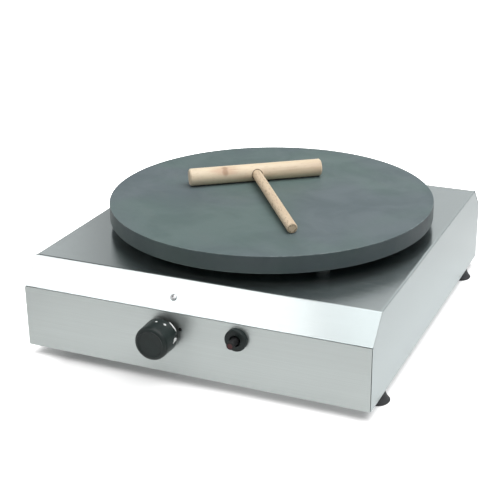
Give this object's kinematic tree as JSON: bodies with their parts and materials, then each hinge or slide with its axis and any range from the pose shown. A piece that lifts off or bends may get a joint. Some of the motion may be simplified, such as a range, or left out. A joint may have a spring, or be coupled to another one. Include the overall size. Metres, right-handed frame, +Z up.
{
  "type": "gas crepe maker",
  "caption": "Countertop gas crepe maker: round cast griddle plate on posts over a star burner in a sloped stainless housing, with gas knob, igniter, rubber feet and a wooden batter spreader.",
  "frame": {"origin": "centre of the bounding box on the table plane, under the rubber feet", "axes": "+X to the right as seen from the front, +Y from the knob's side to the gas inlet at the rear, +Z up"},
  "size_m": [0.433, 0.5294, 0.1713],
  "materials": {
    "brushed_stainless_cover": "brushed stainless sheet, grain along the width on the deck and upright on the sides",
    "brushed_stainless_panel": "brushed stainless sheet, grain along the width",
    "plain_stainless": "plain mill-finish stainless sheet",
    "foot_rubber": "smooth moulded black rubber",
    "fastener_steel": "bright zinc-plated steel",
    "post_steel": "turned stainless steel",
    "griddle_iron": "ground and seasoned cast iron, slate grey",
    "burner_iron": "sand-cast iron, dark",
    "burner_steel": "drawn stainless tube, slightly heat-tinted",
    "brass": "machined brass",
    "spindle_steel": "turned and sprung steel",
    "knob_plastic": "smooth black thermoset, satin gloss",
    "igniter_plastic": "moulded black nylon",
    "button_plastic": "moulded plastic, dull dark red",
    "probe_copper": "drawn copper",
    "electrode_ceramic": "glazed porcelain sleeve on a steel rod",
    "lead_rubber": "silicone sleeve over the lead",
    "beech_wood": "plain pale beech, fine straight grain"
  },
  "bodies": {
    "housing": {"top_cover": "brushed_stainless_cover", "front_panel": "brushed_stainless_panel", "rear_panel": "brushed_stainless_panel", "base_plate": "plain_stainless", "front_left_foot": "foot_rubber", "front_right_foot": "foot_rubber", "rear_left_foot": "foot_rubber", "rear_right_foot": "foot_rubber", "foot_screws": "fastener_steel", "foot_nuts": "fastener_steel", "rear_panel_screws": "fastener_steel", "base_screws": "fastener_steel", "front_left_post": "post_steel", "front_right_post": "post_steel", "rear_left_post": "post_steel", "rear_right_post": "post_steel", "post_nuts": "fastener_steel", "burner_pan": "plain_stainless", "burner_hub": "burner_iron", "hub_screws": "fastener_steel", "burner_cap": "burner_iron", "burner_arm_1": "burner_steel", "burner_arm_2": "burner_steel", "burner_arm_3": "burner_steel", "burner_arm_4": "burner_steel", "burner_arm_5": "burner_steel", "burner_arm_6": "burner_steel", "burner_arm_7": "burner_steel", "burner_arm_8": "burner_steel", "mixer_tube": "burner_iron", "mixer_bracket": "plain_stainless", "air_shutter": "plain_stainless", "injector": "brass", "gas_tap_body": "brass", "tap_nut": "brass", "tap_bracket": "plain_stainless", "bracket_screw": "fastener_steel", "bracket_nut": "fastener_steel", "tap_spring": "spindle_steel", "supply_pipe": "brass", "pipe_nuts": "brass", "inlet_fitting": "brass", "inlet_nut": "brass", "igniter_body": "igniter_plastic", "igniter_nut": "igniter_plastic", "igniter_spring": "spindle_steel", "ignition_electrode": "electrode_ceramic", "ignition_lead": "lead_rubber", "thermocouple": "probe_copper", "pilot_bracket": "plain_stainless"},
    "plate": {"griddle_plate": "griddle_iron"},
    "spreader": {"spreader_bar": "beech_wood", "spreader_handle": "beech_wood"},
    "tap_plunger": {"safety_plunger": "spindle_steel"},
    "knob": {"control_knob": "knob_plastic", "tap_spindle": "spindle_steel"},
    "igniter_button": {"igniter_button": "button_plastic"}
  },
  "joints": [
    {"name": "plate_lift", "type": "slide", "parent": "housing", "child": "plate", "axis": [0, 0, 1], "range_m": [0, 0.12]},
    {"name": "spreader_lift", "type": "slide", "parent": "plate", "child": "spreader", "axis": [0, 0, 1], "range_m": [0, 0.1]},
    {"name": "knob_push", "type": "slide", "parent": "housing", "child": "tap_plunger", "axis": [0, 1, 0], "range_m": [0, 0.003], "stiffness_N_per_m": 1500, "springref_m": -0.002, "deforming": ["tap_spring"]},
    {"name": "knob_turn", "type": "hinge", "parent": "tap_plunger", "child": "knob", "pos_m": [-0.031, -0.2325, 0.061], "axis": [0, -1, 0], "range_deg": [0, 180]},
    {"name": "igniter_press", "type": "slide", "parent": "housing", "child": "igniter_button", "axis": [0, 1, 0], "range_m": [0, 0.005], "stiffness_N_per_m": 1600, "springref_m": -0.003, "deforming": ["igniter_spring"]}
  ]
}
